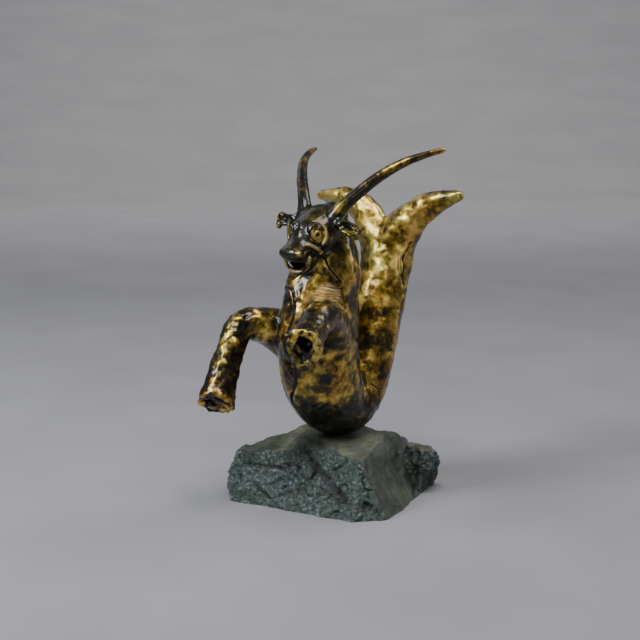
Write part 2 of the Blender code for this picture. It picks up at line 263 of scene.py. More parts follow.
def savePaint(mesh, paint, source):
    # Writes each painted share on the mesh, read from the nearest point of the skin that it came from.
    tree = kdtree.KDTree(len(source))
    for i, point in enumerate(source.tolist()):
        tree.insert(point, i)
    tree.balance()
    nearest = np.array([tree.find(v.co / mm)[1] for v in mesh.vertices])
    for name, values in paint.items():
        layer = mesh.attributes.new(name, "FLOAT", "POINT")
        layer.data.foreach_set("value", np.clip(values[nearest], 0, 1).astype(np.float32))


def ramp(values, low, high):
    t = np.clip((values - low) / (high - low), 0, 1)
    return t * t * (3 - 2 * t)


def nearness(points, route):
    # Distance from each point to the nearest point of a route.
    best = np.full(len(points), 1e9)
    low = route.min(0) - 12
    high = route.max(0) + 12
    close = ((points > low) & (points < high)).all(1)
    part = points[close]
    least = np.full(len(part), 1e9)
    for spot in route:
        least = np.minimum(least, ((part - spot) ** 2).sum(1))
    best[close] = np.sqrt(least)
    return best


def pointDistance(points, spot):
    return np.sqrt(((points - np.array(spot)) ** 2).sum(1))


class Sketch:
    # Turns places in a view's picture, in pixels, into places on a skin.

    def __init__(self, mesh):
        corners = [v.co / mm for v in mesh.vertices]
        self.tree = BVHTree.FromPolygons(corners, [tuple(p.vertices) for p in mesh.polygons])

    def spot(self, view, px, py):
        place = self.tree.ray_cast(viewPlace(view), viewRay(view, px, py))[0]
        return np.array(place) if place else None

    def route(self, view, places, step=0.5):
        spots = []
        run = eased([(px, py, 0.0) for px, py in places], [0.0] * len(places))
        places = [tuple(spot[:2]) for spot, radius in run]
        for (ax, ay), (bx, by) in zip(places, places[1:]):
            cuts = max(1, int(math.hypot(bx - ax, by - ay) / step))
            for i in range(cuts):
                t = i / cuts
                hit = self.spot(view, ax + (bx - ax) * t, ay + (by - ay) * t)
                if hit is not None:
                    spots.append(hit)
        return np.array(spots)


def newPiece(mesh, name, node):
    mesh.shade_smooth()
    piece = bpy.data.objects.new(name, mesh)
    bpy.context.scene.collection.objects.link(piece)
    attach(piece, "root")
    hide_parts(node)


# Colours and nodes.

def srgb(code):
    # An sRGB hex value as linear colour.
    values = [int(code[i:i + 2], 16) / 255 for i in (1, 3, 5)]
    return tuple(v / 12.92 if v <= 0.04045 else ((v + 0.055) / 1.055) ** 2.4 for v in values) + (1.0,)


def newMaterial(name):
    material = bpy.data.materials.new(name)
    material.use_nodes = True
    return material, material.node_tree.nodes["Principled BSDF"]


def add(material, kind, settings, **links):
    # Adds a node. Settings are its own values or its inputs'; links are the sockets that feed its
    # inputs, named by the input's name or, after an i, by its number.
    node = material.node_tree.nodes.new(kind)
    for key, value in settings.items():
        if key == "stops":
            while len(node.color_ramp.elements) < len(value):
                node.color_ramp.elements.new(0.5)
            for stop, (place, colour) in zip(node.color_ramp.elements, value):
                stop.position = place
                stop.color = srgb(colour)
        elif isinstance(key, int) or key in node.inputs:
            node.inputs[key].default_value = value
        else:
            setattr(node, key, value)
    for key, socket in links.items():
        place = int(key[1:]) if key[1:].isdigit() else key.replace("_", " ")
        material.node_tree.links.new(socket, node.inputs[place])
    return node


def join(material, socket, shader, name):
    material.node_tree.links.new(socket, shader.inputs[name])


# Studio.

studio = {
    "floorColours": ("#8a8889", "#908e8f"),
    "front": -2.4,  # m along the camera's direction, with 0 below the figure
    "bendFrom": 1.9,
    "bend": 0.9,
    "bendSteps": 16,
    "top": 2.2,
    "halfWidth": 3.2,
    "sky": ("#a4a6ad", 0.38),  # colour and strength of the room's even light
    "aimHeight": 0.16,  # m above the floor that the lamps look at
    "lamps": [
        # name, azimuth, elevation, distance m, size m, watts, colour, m behind the figure that it looks at
        ("windowLeft", -28, 36, 1.5, (0.45, 0.65), 24, "#eaf0ff", 0.0),
        ("topBox", 40, 74, 1.4, (0.8, 0.6), 16, "#ffffff", 0.0),
        ("rearRight", 158, 48, 1.5, (0.5, 0.8), 6, "#eef3ff", 0.0),
        ("sideRight", 145, 14, 1.6, (0.16, 0.8), 3, "#eef3ff", 0.0),
        ("leftRear", -100, 34, 1.6, (0.8, 0.8), 1.5, "#e8f0ff", 0.0),
        ("frontFill", 30, 8, 2.2, (0.9, 0.9), 5, "#fff4e4", 0.0),
        ("wallWash", 40, 35, 1.3, (2.4, 0.5), 17, "#ffffff", 2.6),
    ],
}


def addStudio():
    # A pale floor that curves up into a wall behind, as seen from the camera.
    right, up, ahead = viewAxes(photoView)
    away = Vector((ahead.x, ahead.y, 0)).normalized()
    bend = studio["bend"]
    profile = [(studio["front"], 0.0), (0.4, 0.0)]
    for i in range(studio["bendSteps"] + 1):
        t = math.radians(i * 90 / studio["bendSteps"])
        profile.append((studio["bendFrom"] + math.sin(t) * bend, bend * (1 - math.cos(t))))
    profile.append((studio["bendFrom"] + bend, studio["top"]))
    bm = bmesh.new()
    rows = []
    for along, height in profile:
        rows.append([bm.verts.new(away * along + right * side + Vector((0, 0, height)))
                     for side in (-studio["halfWidth"], studio["halfWidth"])])
    for a, b in zip(rows, rows[1:]):
        bm.faces.new((a[0], a[1], b[1], b[0]))
    mesh = bpy.data.meshes.new("studioFloor")
    bm.to_mesh(mesh)
    bm.free()
    mesh.shade_smooth()
    material, shader = newMaterial("studioPaper")  # matt background paper: even and without shine
    grain = add(material, "ShaderNodeTexNoise", {"Scale": 60.0, "Detail": 3.0})
    low, high = studio["floorColours"]
    tone = add(material, "ShaderNodeValToRGB", {"stops": [(0.35, low), (0.65, high)]},
               Fac=grain.outputs["Fac"])
    join(material, tone.outputs["Color"], shader, "Base Color")
    shader.inputs["Roughness"].default_value = 0.9
    mesh.materials.append(material)
    floor = bpy.data.objects.new("studioFloor", mesh)
    bpy.context.scene.collection.objects.link(floor)

    for name, azimuth, elevation, distance, size, watts, colour, behind in studio["lamps"]:
        middle = away * behind + Vector((0, 0, studio["aimHeight"]))
        right, up, ahead = viewAxes(dict(photoView, azimuth=azimuth, elevation=elevation))
        data = bpy.data.lights.new(name, "AREA")
        data.shape = "RECTANGLE"
        data.size, data.size_y = size
        data.energy = watts
        data.color = srgb(colour)[:3]
        item = bpy.data.objects.new(name, data)
        turn = Matrix((right, up, -ahead)).transposed().to_4x4()
        item.matrix_world = Matrix.Translation(middle - ahead * distance) @ turn
        bpy.context.scene.collection.objects.link(item)
    world = bpy.data.worlds.new("studioWorld")
    world.use_nodes = True
    sky = world.node_tree.nodes["Background"]
    colour, strength = studio["sky"]
    sky.inputs["Color"].default_value = srgb(colour)
    sky.inputs["Strength"].default_value = strength
    bpy.context.scene.world = world


# Bronze figure.

casting = {
    "evenGrain": 1.25,  # mm between points while the solid's facets are smoothed away
    "evenRounds": 45,
    "grain": 0.66,  # mm between points of the finished skin
    "triangles": 194000,
    "dents": [(19.0, 0.75), (9.0, 0.70), (4.0, 0.16)],  # size and height of the hand-worked dents
    "dentsLessOnHead": 0.7,
    "dentsMoreOnLegs": 0.6,
    "seatHeight": 53.3,  # of the flat below the belly
    "seatFade": 3,  # the relief starts over this height above the flat
    "hollowRounds": 24,  # of smoothing, to tell hollows from ridges
    "fineOnHead": 0.75,  # how much less the head is thinned than the rest
}

# How far the bronze was rubbed back to gold, and where light and shade are painted into that gold: the
# body's share, and what the others add or take.
rubbedGoldAndPaintedLight = {
    "body": 0.46,
    "tail": 0.20,
    "belly": 0.24,
    "foreleg": 0.14,
    "skull": 0.28,
    "horn": (0.20, 0.08, 0.2),  # at the root, and what the top and the far end add
    # painted light: more gold where the skin faces the camera
    "turned": 0.30,  # in the middle of the front and back
    # painted shade: less gold on the sides turned away from the camera
    "sides": 0.19,  # taken all over, so that the sides stay darker
    "dents": 0.40,
    "stroke": 0.35,
    "dab": 0.32,
    "hollow": 0.5,
}

head = {
    "centre": (0.0, -28.0, 232.3),
    "pitch": 25.0,  # degrees that the muzzle points down
    "eye": (18.4, 7.9, 15.0),  # forward, up and sideways
    "eyeFacing": (0.58, 0.30, 0.76),
    "farSink": 2.0,  # the far eye and its lids lie that much flatter
    "ball": (5.4, 7.4),
    "eyeFront": 2.4,  # of the eyeball's surface before its middle
    "iris": 2.5,
    "irisRidge": (0.6, 0.6),  # height and half width
    "pupil": (0.9, 1.0),  # depth and radius
    "lip": [(38.5, -6.0, -9.8), (38.6, -11.5, -9.0), (38.2, -16.0, -6.2), (37.5, -18.4, -1.5),
            (36.5, -18.2, 3.5), (35.0, -15.6, 7.8), (33.0, -11.5, 10.6), (31.0, -7.0, 11.8)],
    "lipRadii": [1.1, 1.4, 1.5, 1.6, 1.6, 1.6, 1.6, 1.4],
    "lipLift": 0.8,  # of the fold at the corner of the lips above the cheek
}

# Wax laid on the near side of the face, which the other side mirrors: pixels of the photo with the
# radius there. The lids lie in the plane of the eye and the fold lies on the cheek.
lids = [(310.6, 229.5, 0.7), (313.0, 225.6, 1.0), (317.0, 223.4, 1.1), (322.0, 224.6, 1.3),
        (325.6, 229.0, 1.6), (326.5, 234.6, 1.8), (325.4, 240.4, 1.6), (322.4, 244.6, 1.0)]
lipCorner = [(306.2, 244.7, 1.2), (310.1, 245.2, 1.7), (314.0, 246.9, 2.0), (317.9, 249.7, 2.1),
             (320.7, 253.0, 2.5)]

# The ears: root and tip, and pixels of the photo along their rolled rims and at their beads.
ears = {
    "near": {
        "root": (21.0, -30.0, 239.8),
        "tip": (46.0, -36.0, 233.3),
        "rims": [[(340.3, 222.0), (345.3, 221.2), (350.4, 223.2), (356.0, 225.8), (359.7, 229.4),
                  (359.8, 233.5)],
                 [(340.5, 227.9), (343.7, 229.4), (350.4, 232.4), (356.0, 235.0), (359.0, 236.6)]],
        "radius": 1.1,
        "bead": (357.2, 233.8, 2.5),
    },
    "far": {
        "root": (-20.0, -30.0, 238.3),
        "tip": (-37.0, -37.0, 237.3),
        "rims": [[(295.6, 213.9), (291.0, 215.0), (286.0, 214.0), (281.5, 212.4), (278.8, 213.8)],
                 [(278.8, 213.8), (278.6, 217.5), (280.6, 221.4)],
                 [(296.0, 217.0), (284.5, 216.5)], [(296.0, 219.8), (284.5, 219.3)],
                 [(294.5, 223.0), (287.7, 222.0), (282.0, 222.4), (278.8, 224.5)]],
        "radius": 1.0,
        "bead": (279.2, 226.4, 1.9),
    },
}

# The open ends of the forelegs: middle of the end, a place further up the leg, the way that the
# cut faces, radius, and pixels of the photo round the rim with its thickness there.
legEnds = {
    "left": {
        "end": (59.0, -119.0, 156.3), "up": (48.0, -96.0, 162.3), "facing": (0.42, -0.88, -0.23),
        "radius": 15.6,
        "rim": [(291.8, 351.8, 3.4), (291.6, 344.9, 2.5), (293.2, 338.0, 3.4), (297.6, 333.6, 2.7),
                (304.4, 334.6, 2.0), (310.4, 336.6, 2.6), (314.9, 343.0, 2.1), (317.8, 351.0, 3.1),
                (315.6, 358.7, 2.4), (311.0, 363.6, 3.3), (302.8, 362.0, 2.6), (296.2, 358.2, 3.7)],
        "ledges": [[(296.0, 346.0, 3.0, 2.6), (299.5, 352.0, 4.0, 3.0), (305.0, 356.0, 5.0, 2.4)],
                   [(301.0, 359.5, 3.0, 2.6), (307.5, 358.0, 4.0, 3.0), (313.0, 351.0, 3.0, 2.4)],
                   [(311.0, 341.0, 4.0, 2.0), (307.0, 346.0, 6.0, 2.4), (308.0, 351.0, 8.0, 2.0)]],
    },
    "right": {
        "end": (-38.5, -113.4, 94.1), "up": (-43.0, -97.0, 122.3), "facing": (0.265, -0.620, -0.738),
        "radius": 15.4,
        "rim": [(200.6, 401.6, 1.6), (204.6, 397.3, 1.5), (212.4, 396.6, 1.6), (220.6, 400.6, 1.4),
                (228.0, 404.8, 1.6), (229.6, 408.0, 1.7), (226.4, 410.4, 1.7), (219.0, 410.8, 1.5),
                (211.4, 410.2, 1.6), (204.6, 406.6, 1.5)],
        "ledges": [[(221.0, 408.5, 3.5, 2.0), (215.0, 406.5, 6.0, 2.4), (207.0, 403.5, 7.0, 1.8)]],
    },
}

# The core's space in the forelegs and the open mouth, in mm, where painted shade darkens the bronze.
hollows = {
    "wall": 3.2,
    "depth": 27,
    "mouth": (28.0, -11.0, 0.0),  # forward, up and sideways
    "mouthSize": (17, 7.6, 11),
}

# How the rims of the forelegs' ends are worked: how far it reaches, and size, height and gold of
# its knobs.
rims = {"reach": 4.0, "knobSize": 5.0, "knobHeight": 1.9, "knobGold": 0.6, "gold": 0.12}

# Seams, cracks and folds as drawn over the photo, and painted highlights along the lids and the lower lip:
# view, route in pixels, half width and height in mm, and how much gold (above 0) or dark (below 0) shows
# along it.
strokes = {
    "chestSeam": (photoView, [(290, 276), (285.5, 286), (291.6, 289), (293.5, 296), (294, 306),
                              (293, 317), (290, 326.5), (286.5, 336), (284.4, 344), (286, 352),
                              (291.6, 362), (295, 371), (295.6, 382), (293.5, 392), (291.6, 400),
                              (297, 409.5), (306, 419), (315.5, 427)], 1.05, -1.6, -1.0),
    "neckSeam": (photoView, [(322, 254), (326.7, 263), (333, 272.3), (341.8, 282.7)], 0.6, -0.9, -0.9),
    "neckSeamLow": (photoView, [(342.6, 288.3), (333, 288.3), (324.3, 285.4)], 0.5, -0.6, -0.8),
    "throatEdge": (photoView, [(309, 267.5), (301, 275.5), (293, 282)], 1.0, 0.6, 0.9),
    "throatShade": (photoView, [(308.5, 266), (300, 274), (293, 280)], 0.7, -0.6, -0.7),
    "tailCrack": (photoView, [(371.3, 384), (377.7, 388.7), (383, 388.7)], 0.5, -0.6, -0.7),
    "tailSeam": (photoView, [(411, 243), (406, 252), (403.0, 260), (404.0, 268), (402.4, 276),
                             (403.2, 286)], 1.1, -0.8, -0.30),
    "tailSeamEdge": (photoView, [(407, 246), (400.5, 256), (399.5, 268), (397.5, 280)], 1.5, 0.9, 0.9),
    "eyeSlit": (photoView, [(316.6, 226.4), (315.6, 229.6), (314.2, 234.6)], 0.45, -0.6, -0.7),
    "innerLid": (photoView, [(312.0, 227.5), (310.2, 231), (310.2, 235), (312.0, 238.8), (315.7, 241.4)],
                 0.5, -0.4, -0.5),
    # painted highlights along the outer lid and at the lip's corner
    "outerLidHighlight": (photoView, [(322, 224.6), (325.6, 229), (326.5, 234.6), (325.4, 240.4), (322.4, 244.6)],
                 1.5, 0.0, 1.7),
    "lipCornerShine": (photoView, [(307, 244.5), (311, 245), (315, 247), (319, 250)], 1.2, 0.0, 1.3),
    # painted highlight along the lower lip, which is raised a little
    "lowerLipHighlight": (photoView, [(284.6, 261.5), (286.5, 267), (291.0, 271), (297.5, 271.8), (303, 268.3),
                             (307.8, 263.5), (310, 257.5)], 1.4, 0.5, 1.5),
    "shoulderRim": (photoView, [(323, 355.5), (335, 352.5), (346, 351)], 1.8, 0.8, 0.9),
    "kneeFold": (photoView, [(228, 339), (235, 336), (243, 338)], 1.2, -0.6, -0.3),
    "backSeam": (backView, [(352, 250), (346, 290), (352, 330), (344, 372), (336, 404)], 0.8, -1.0, -0.8),
    "backSeamShort": (backView, [(352, 330), (338, 334), (326, 345)], 0.8, -0.8, -0.8),
    "flankSeam": (rightView, [(325, 288), (331, 320), (326, 356), (334, 392)], 0.8, -1.0, -0.8),
}

# Strokes with a tone below the deep one have raised banks beside them, that many half widths away and that
# high; those above the highlight one are painted pale and made rougher, as painted highlights.
strokeRules = {"deepTone": -0.85, "bankPlace": 2.4, "bankHeight": 0.25, "goldWidth": 1.6, "highlightTone": 1.2}

# Lumps, pits and rubbed places, and painted shade in the fold beside the near foreleg: pixel of the photo,
# radius and height in mm, and gold (above 0) or dark (below 0).
dabs = [
    # painted shade in the fold where the near foreleg meets the belly
    ((336, 343), 7.0, -1.4, -0.9), ((335, 332), 4.5, -0.8, -0.7),
    ((349.5, 227.5), 3.2, -0.3, -1.2), ((344.5, 225.6), 2.4, -0.2, -1.2), ((287, 218.3), 3.0, -0.3, -1.0),
    ((384.5, 270.7), 4.0, 1.5, 0.9), ((377.7, 288.3), 5.0, 1.2, 0.7), ((371.0, 287.5), 2.6, -0.9, -0.6),
    ((375.0, 277.5), 5.0, -0.9, -0.5), ((390.0, 281.0), 5.0, -0.8, -0.5), ((382.0, 258.0), 5.0, -0.6, -0.3),
    ((377, 316), 11.0, -0.7, -1.0), ((368, 300), 5.0, 0.8, 0.8), ((389, 303), 5.0, 0.5, 0.6),
    ((302.8, 299.4), 4.0, 0.5, 0.8), ((298.5, 312), 3.5, 0.4, 0.7), ((286, 325), 4.5, 0.8, 1.0),
    ((345.8, 290), 5.0, 0.4, 0.8), ((303, 282), 8.0, 0.0, -1.0), ((297, 291), 4.0, 0.0, -0.9),
    ((318, 268), 7.0, 0.2, 0.35), ((345, 262), 6.0, 0.2, 0.5), ((332, 262), 4.0, 0.0, -0.6),
    ((339.4, 364.8), 5.0, 0.6, 1.0), ((323.5, 358), 6.0, 0.4, 0.8), ((352.0, 342.5), 5.0, 0.3, 0.9),
    ((310, 276), 6.0, -0.9, -1.2), ((300, 284), 5.0, -0.8, -0.9),
    ((306, 288), 4.0, 0.6, 0.2), ((353.8, 322), 4.0, 0.0, 0.7), ((349, 355), 5.0, 0.2, 0.8),
    ((304.4, 377.6), 4.5, 0.5, 0.7), ((310.7, 393.5), 4.5, 0.3, 0.7), ((323, 401), 4.5, 0.2, 0.6),
    ((336, 399.9), 5.0, 0.4, 0.8),
    ((347.4, 393.5), 4.5, 0.3, 0.6), ((320, 378), 8.0, -0.4, -0.5), ((332, 415), 16.0, 0.0, -0.8),
    ((304, 400), 6.0, 0.0, -0.8), ((333, 380), 7.0, 0.0, -0.3),
    ((375, 379), 6.0, 0.4, 0.8), ((382, 340), 10.0, 0.0, -0.4), ((366, 345), 8.0, -0.3, -0.5),
    ((246, 316), 2.4, -1.0, -1.0), ((237, 319), 4.5, 0.6, 0.8), ((254.9, 318.6), 5.0, 0.3, 0.7),
    ((246.5, 309.5), 4.0, 0.2, 0.6), ((266, 331), 5.0, 0.2, 0.5), ((270, 318), 5.0, 0.0, -0.6),
    ((224.6, 352), 4.0, 0.6, 0.6), ((231.5, 352), 3.0, -0.5, -0.7), ((234.2, 366), 3.5, 0.4, 0.8),
    ((235.8, 376), 3.5, 0.3, 0.8), ((217.5, 377.6), 4.5, 0.3, 0.5), ((212, 336), 6.0, 0.0, -0.5),
    ((299.0, 254.2), 2.0, 1.1, 1.7), ((301.5, 226.0), 1.5, 0.7, 0.0), ((300.3, 231.5), 1.5, 0.7, 0.0),
    ((321.0, 253.0), 2.0, 1.2, 0.9), ((309.0, 250.0), 1.2, 0.7, 0.3), ((311.3, 252.5), 1.1, -0.6, 0.2),
    ((309.8, 255.3), 1.2, 0.7, 0.3), ((313.2, 250.8), 1.1, 0.6, 0.3), ((312.5, 256.0), 1.0, -0.5, 0.0),
    ((349, 236.5), 4.0, 0.3, 0.5), ((346.5, 247.5), 3.6, 0.4, 0.9), ((341, 256), 3.0, 0.2, 0.4),
    ((299.5, 197.5), 2.6, 0.3, 0.8), ((341, 207.5), 4.0, 0.0, 0.5),
    ((298.0, 334), 3.5, 0.6, 0.4), ((309.5, 318.5), 2.6, -0.6, 0.2), ((314.0, 309), 3.0, -0.4, 0.0),
]

# A patch of the chest that was left with the marks of a file.
filedPatch = {
    "pixel": (328, 297),
    "radius": 13.0,
    "spacing": 2.2,
    "depth": 0.30,
    "slope": 0.25,
    "edge": (4, 9.0),  # how far its ragged edge wanders, and the size of that
    "sway": ((2.2, 14.0), (0.5, 2.5)),  # the same for the marks themselves
    "gold": (0.34, 0.20),  # in all, and between the marks
}

# Where the colour turns blue-green: pixel, radius and strength.
coolPlaces = [((322, 380), 9.0, 0.9), ((210, 345), 26.0, 0.7), ((236, 330), 20.0, 0.6),
              ((300, 240), 30.0, 0.8), ((310, 320), 20.0, 0.6), ((345, 300), 18.0, 0.2)]


def headAxes():
    c = math.cos(math.radians(head["pitch"]))
    s = math.sin(math.radians(head["pitch"]))
    return Vector((0, -c, -s)), Vector((0, -s, c)), Vector((1, 0, 0))


def headPlace(forward, up, sideways):
    ahead, upward, across = headAxes()
    return Vector(head["centre"]) + ahead * forward + upward * up + across * sideways


def eyePlace(side):
    # Middle of an eye, the way it faces, and its own across and up.
    ahead, upward, across = headAxes()
    forward, up, sideways = head["eye"]
    place = headPlace(forward, up, sideways if side > 0 else head["farSink"] - sideways)
    a, b, c = head["eyeFacing"]
    facing = (ahead * a + upward * b + across * (c * side)).normalized()
    level = upward.cross(facing).normalized()
    return place, facing, level, facing.cross(level)


def addHeadForms(wax, paper):
    for side in (1, -1):
        place, facing, level, upright = eyePlace(side)
        turn = Matrix((level, upright, facing)).transposed()
        wax.lump(place - facing * 4.6, (8.0, 9.4, 5.6), turn)
        wax.lump(place, (*head["ball"], 2.6), turn)
    place, facing = eyePlace(1)[:2]
    toCamera = -viewAxes(photoView)[2]
    lidSpots = [onPlane(place + facing * 2.0, facing, px, py) for px, py, radius in lids]
    foldSpots = [Vector(paper.spot(photoView, px, py)) + toCamera * head["lipLift"]
                 for px, py, radius in lipCorner]
    for fold, spots in ((lids, lidSpots), (lipCorner, foldSpots)):
        radii = [radius for px, py, radius in fold]
        wax.rope(spots, radii)
        wax.rope([Vector((head["farSink"] - s.x, s.y, s.z)) for s in spots], radii)
    wax.rope([headPlace(*p) for p in head["lip"]], head["lipRadii"])
    for ear in ears.values():
        root = Vector(ear["root"])
        along = (Vector(ear["tip"]) - root).normalized()
        facing = along.cross(Vector((0, 0, 1))).normalized()
        facing = -facing if facing.y > 0 else facing
        front = root + facing * 1.5
        for rim in ear["rims"]:
            wax.rope([onPlane(front, facing, px, py) for px, py in rim], [ear["radius"]] * len(rim))
        px, py, radius = ear["bead"]
        wax.lump(onPlane(front, facing, px, py), (radius, radius, radius))


def rimSpots(leg):
    facing = Vector(leg["facing"]).normalized()
    return [onPlane(Vector(leg["end"]) - facing * 1.4, facing, px, py) for px, py, radius in leg["rim"]]


def addLegForms(wax):
    for leg in legEnds.values():
        end = Vector(leg["end"])
        facing = Vector(leg["facing"]).normalized()
        inward = (Vector(leg["up"]) - end).normalized()
        wax.ring(rimSpots(leg), [radius for px, py, radius in leg["rim"]], facing)
        for ledge in leg["ledges"]:
            wax.rope([onPlane(end, facing, px, py) + inward * depth for px, py, depth, radius in ledge],
                     [radius for px, py, depth, radius in ledge])


def insideShadeShare(points):
    # Painted shade inside the open ends of the forelegs and in the mouth: 1 deep inside, 0 outside.
    share = np.zeros(len(points))
    for leg in legEnds.values():
        inward = np.array((Vector(leg["up"]) - Vector(leg["end"])).normalized())
        away = points - np.array(leg["end"])
        depth = away @ inward
        out = np.sqrt(np.maximum((away ** 2).sum(1) - depth ** 2, 0))
        inside = (out < leg["radius"] - hollows["wall"]) & (depth > -2) & (depth < hollows["depth"])
        share = np.maximum(share, inside * ramp(depth, -1.0, 2.0))
    ahead, upward, across = (np.array(a) for a in headAxes())
    away = points - np.array(headPlace(*hollows["mouth"]))
    long, high, wide = hollows["mouthSize"]
    reach = np.sqrt((away @ ahead / long) ** 2 + (away @ upward / high) ** 2 + (away @ across / wide) ** 2)
    return np.maximum(share, ramp(-reach, -1.05, -0.85))


def skullShare(y, z):
    skull = ramp(z, 212, 220) * ramp(-y, -12, 2)
    muzzle = ramp(-y, 46, 54) * ramp(z, 196, 202)
    return np.maximum(skull, muzzle) * (1 - ramp(z, 266, 270))


def hornShare(y, z):
    return np.maximum(ramp(z, 266, 270), ramp(z, 240, 248) * ramp(-y, -44, -34)) * (1 - ramp(y, 56, 60))


def forelegShare(y, z):
    return ramp(-y, 50, 68) * ramp(-z, -185, -170)


def regionGold(y, z):
    gold = np.full(len(y), rubbedGoldAndPaintedLight["body"])
    gold += rubbedGoldAndPaintedLight["tail"] * (ramp(y, 22, 38) * ramp(z, 110, 190))
    gold -= rubbedGoldAndPaintedLight["belly"] * ramp(-z, -96, -72)
    gold -= rubbedGoldAndPaintedLight["foreleg"] * forelegShare(y, z)
    gold -= rubbedGoldAndPaintedLight["skull"] * skullShare(y, z)
    horn = hornShare(y, z)
    root, top, end = rubbedGoldAndPaintedLight["horn"]
    return gold * (1 - horn) + horn * (root + top * ramp(z, 268, 284) + end * ramp(y, 30, 52))


def buildCasting():
    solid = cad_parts["bronze_capricorn"].data.copy()
    solid.materials.clear()
    even = remeshed(solid, casting["evenGrain"])
    Skin(even).smooth(casting["evenRounds"])
    wax = Wax()
    addHeadForms(wax, Sketch(even))
    addLegForms(wax)
    grain = casting["grain"]
    mesh = remeshed(joined(even, wax), grain)
    skin = Skin(mesh)
    skin.smooth(4)
    print("casting skin:", len(mesh.polygons), "faces")

    paper = Sketch(mesh)
    points = skin.points.copy()
    x, y, z = points.T
    gold = regionGold(y, z)
    seam = np.zeros(len(points))
    heights = np.zeros(len(points))
    face = skullShare(y, z)
    bare = np.zeros(len(points))
    # painted light and shade: more gold where the skin faces the camera, less on the sides turned away from
    # it
    turned = np.abs(skin.normals() @ np.array(viewAxes(photoView)[2]))
    gold += (1 - face) * (rubbedGoldAndPaintedLight["turned"] * turned - rubbedGoldAndPaintedLight["sides"])
    dents = sum(height * skin.soft(size, size) for size, height in casting["dents"])
    heights += dents * (1 - casting["dentsLessOnHead"] * np.maximum(face, hornShare(y, z))
                        + casting["dentsMoreOnLegs"] * forelegShare(y, z))
    gold += rubbedGoldAndPaintedLight["dents"] * dents
    iris = head["iris"]
    ridge, ridgeWidth = head["irisRidge"]
    pit, pitRadius = head["pupil"]
    for side in (1, -1):
        place, facing = eyePlace(side)[:2]
        reach = pointDistance(points, place + facing * head["eyeFront"])
        close = reach < 8
        heights += close * ridge * np.exp(-((reach - iris) / ridgeWidth) ** 2)
        heights -= close * pit * np.exp(-(reach / pitRadius) ** 2)
        seam = np.maximum(seam, np.exp(-(reach / pitRadius) ** 2))
        gold += 0.48 * (1 - ramp(reach, 6.0, 8.5)) + close * 0.3 * np.exp(-((reach - iris) / 0.8) ** 2)
    for view, route, width, height, tone in strokes.values():
        line = paper.route(view, route)
        if not len(line):
            continue
        reach = nearness(points, line)
        profile = np.exp(-(reach / width) ** 2)
        heights += height * profile
        if tone < strokeRules["deepTone"]:
            bank = (reach - strokeRules["bankPlace"] * width) / width
            heights += strokeRules["bankHeight"] * np.exp(-bank ** 2)
        if tone < 0:
            seam = np.maximum(seam, profile * -tone)
        else:
            gold += tone * rubbedGoldAndPaintedLight["stroke"] * np.exp(-(reach / (strokeRules["goldWidth"] * width)) ** 2)
        # strokes that are painted highlights turn pale
        if tone > strokeRules["highlightTone"]:
            bare = np.maximum(bare, profile)
    for leg in legEnds.values():
        route = np.array([tuple(s) for s, radius in eased(rimSpots(leg), [0.0] * len(leg["rim"]), True)])
        cover = np.exp(-(nearness(points, route) / rims["reach"]) ** 2)
        knobs = skin.soft(rims["knobSize"], 9.0)
        heights += rims["knobHeight"] * knobs * cover
        gold += cover * (rims["knobGold"] * knobs + rims["gold"])
    for (px, py), radius, height, tone in dabs:
        spot = paper.spot(photoView, px, py)
        if spot is None:
            continue
        cover = np.exp(-(pointDistance(points, spot) / radius) ** 2)
        heights += height * cover
        gold += rubbedGoldAndPaintedLight["dab"] * tone * cover
    spot = paper.spot(photoView, *filedPatch["pixel"])
    wander, size = filedPatch["edge"]
    filed = 1 - ramp(pointDistance(points, spot) + wander * skin.soft(size, 4.0),
                     filedPatch["radius"] * 0.5, filedPatch["radius"])
    bare = np.maximum(bare, filed)
    (wide, wideSize), (narrow, narrowSize) = filedPatch["sway"]
    sway = wide * skin.soft(wideSize, 2.0) + narrow * skin.soft(narrowSize, 3.0)
    marks = np.sin((z + filedPatch["slope"] * x + sway) * 2 * math.pi / filedPatch["spacing"])
    heights += filedPatch["depth"] * filed * marks
    overall, between = filedPatch["gold"]
    gold += filed * (overall + between * marks)
    cool = 0.2 + 0.6 * face
    for (px, py), radius, strength in coolPlaces:
        spot = paper.spot(photoView, px, py)
        if spot is not None:
            cool = np.maximum(cool, strength * np.exp(-(pointDistance(points, spot) / radius) ** 2))
    seat = casting["seatHeight"]
    skin.push(heights * ramp(z, seat, seat + casting["seatFade"]))
    skin.points[:, 2] = np.maximum(skin.points[:, 2], seat)
    skin.write()
    hollow = skin.hollowness(casting["hollowRounds"])
    paint = {
        "gold": gold - np.clip(hollow, -0.45, 1.0) * rubbedGoldAndPaintedLight["hollow"],
        "seam": np.maximum(seam, 0.6 * ramp(hollow, 0.5, 1.2)),
        "deep": insideShadeShare(points),
        "cool": cool,
        "bare": bare,
    }
    source = skin.points
    plain = 1 - casting["fineOnHead"] * ramp(z, 212, 222) * ramp(-y, -30, -15)
    mesh = thinned(mesh, casting["triangles"], plain)
    savePaint(mesh, paint, source)
    mesh.materials.append(patinatedBronze())
    newPiece(mesh, "capricornCasting", "bronze_capricorn")


